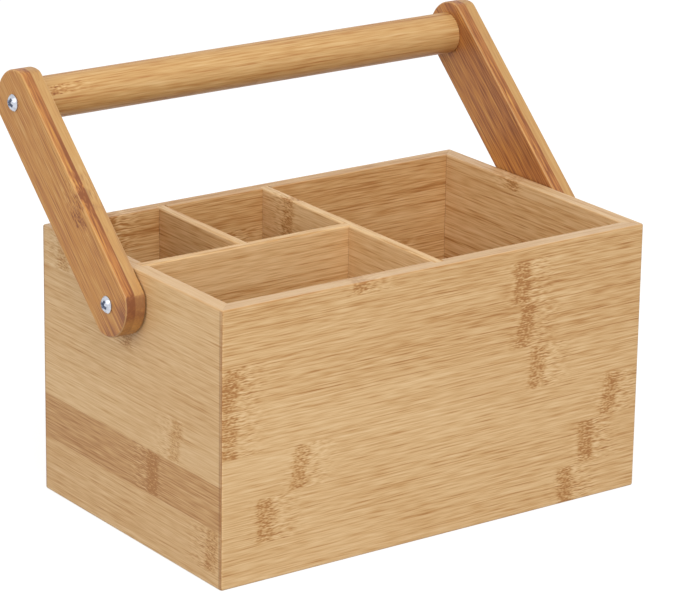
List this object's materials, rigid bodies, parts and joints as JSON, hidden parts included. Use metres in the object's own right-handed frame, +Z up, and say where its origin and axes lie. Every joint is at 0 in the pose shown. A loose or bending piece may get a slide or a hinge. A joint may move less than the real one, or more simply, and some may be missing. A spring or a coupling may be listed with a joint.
{
  "type": "desk organizer",
  "caption": "Open bamboo desk caddy with mitred walls, dividers housed into compartments, and a round carry bar on flat side arms that swing front to back.",
  "frame": {"origin": "middle of the box's underside, on the surface that it stands on", "axes": "+X to the right along the box's width, +Y to the back, +Z up"},
  "size_m": [0.2626, 0.1702, 0.2039],
  "materials": {
    "bamboo_wall": "laminated bamboo boards under a thin satin lacquer",
    "bamboo_base": "laminated bamboo panel, satin",
    "bamboo_divider": "laminated bamboo boards, satin",
    "bamboo_arm": "darker laminated bamboo, sanded and lacquered",
    "bamboo_bar": "turned laminated bamboo, lacquered",
    "zinc_steel": "bright zinc-plated steel",
    "insert_brass": "turned brass"
  },
  "bodies": {
    "box": {"front_wall": "bamboo_wall", "right_wall": "bamboo_wall", "back_wall": "bamboo_wall", "left_wall": "bamboo_wall", "base_panel": "bamboo_base", "long_divider": "bamboo_divider", "cross_divider": "bamboo_divider", "short_divider": "bamboo_divider", "pivot_screws": "zinc_steel", "pivot_washers": "zinc_steel", "pivot_inserts": "insert_brass"},
    "handle": {"left_handle_arm": "bamboo_arm", "right_handle_arm": "bamboo_arm", "handle_bar": "bamboo_bar", "bar_screws": "zinc_steel"}
  },
  "joints": [
    {"name": "handle_swing", "type": "hinge", "parent": "box", "child": "handle", "pos_m": [0, 0, 0.114], "axis": [1, 0, 0], "range_deg": [-81.5, 175.5]}
  ]
}
